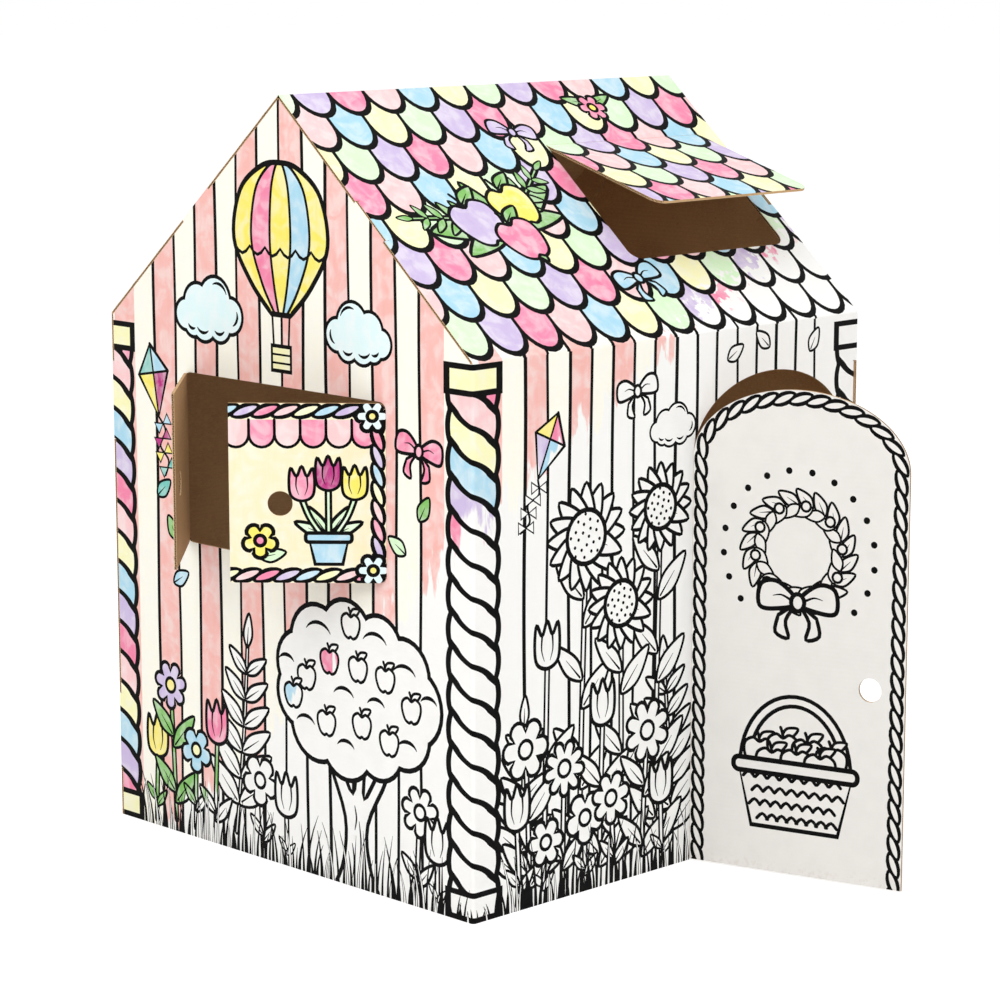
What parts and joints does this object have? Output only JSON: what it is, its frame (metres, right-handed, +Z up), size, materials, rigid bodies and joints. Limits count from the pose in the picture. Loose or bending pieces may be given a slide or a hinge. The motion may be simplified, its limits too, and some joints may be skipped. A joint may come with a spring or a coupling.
{
  "type": "cardboard playhouse",
  "caption": "Child-size gabled playhouse folded from corrugated cardboard, with an arched door, window shutters and a roof hatch cut as flaps, printed to colour in.",
  "frame": {"origin": "on the floor, under the middle of the whole part's box with its flaps standing open as in the picture", "axes": "+X along the ridge from the window's gable to the far gable, +Y from the door's wall to the back, +Z up"},
  "size_m": [1.045, 1.1999, 1.22],
  "materials": {
    "board": "white-faced kraft, printed",
    "door_board": "white-faced kraft, printed",
    "shutter_board": "white-faced kraft, printed",
    "roof_board": "white-faced kraft, printed"
  },
  "bodies": {
    "house": {"front_sheet": "board", "rear_sheet": "board"},
    "door": {"door": "door_board"},
    "left_shutter": {"left_shutter": "shutter_board"},
    "right_shutter": {"right_shutter": "shutter_board"},
    "hatch": {"hatch": "roof_board"}
  },
  "joints": [
    {"name": "door_fold", "type": "hinge", "parent": "house", "child": "door", "pos_m": [0.12449, -0.25005, 0], "axis": [0, 0, -1], "range_deg": [-74, 96]},
    {"name": "right_shutter_fold", "type": "hinge", "parent": "house", "child": "right_shutter", "pos_m": [-0.35751, -0.06305, 0.494], "axis": [0, 0, 1], "range_deg": [-44, 126]},
    {"name": "left_shutter_fold", "type": "hinge", "parent": "house", "child": "left_shutter", "pos_m": [-0.35751, 0.41295, 0.494], "axis": [0, 0, -1], "range_deg": [-44, 126]},
    {"name": "hatch_fold", "type": "hinge", "parent": "house", "child": "hatch", "pos_m": [0.29749, 0.0671, 1.1261], "axis": [-1, 0, 0], "range_deg": [-24, 146]}
  ]
}
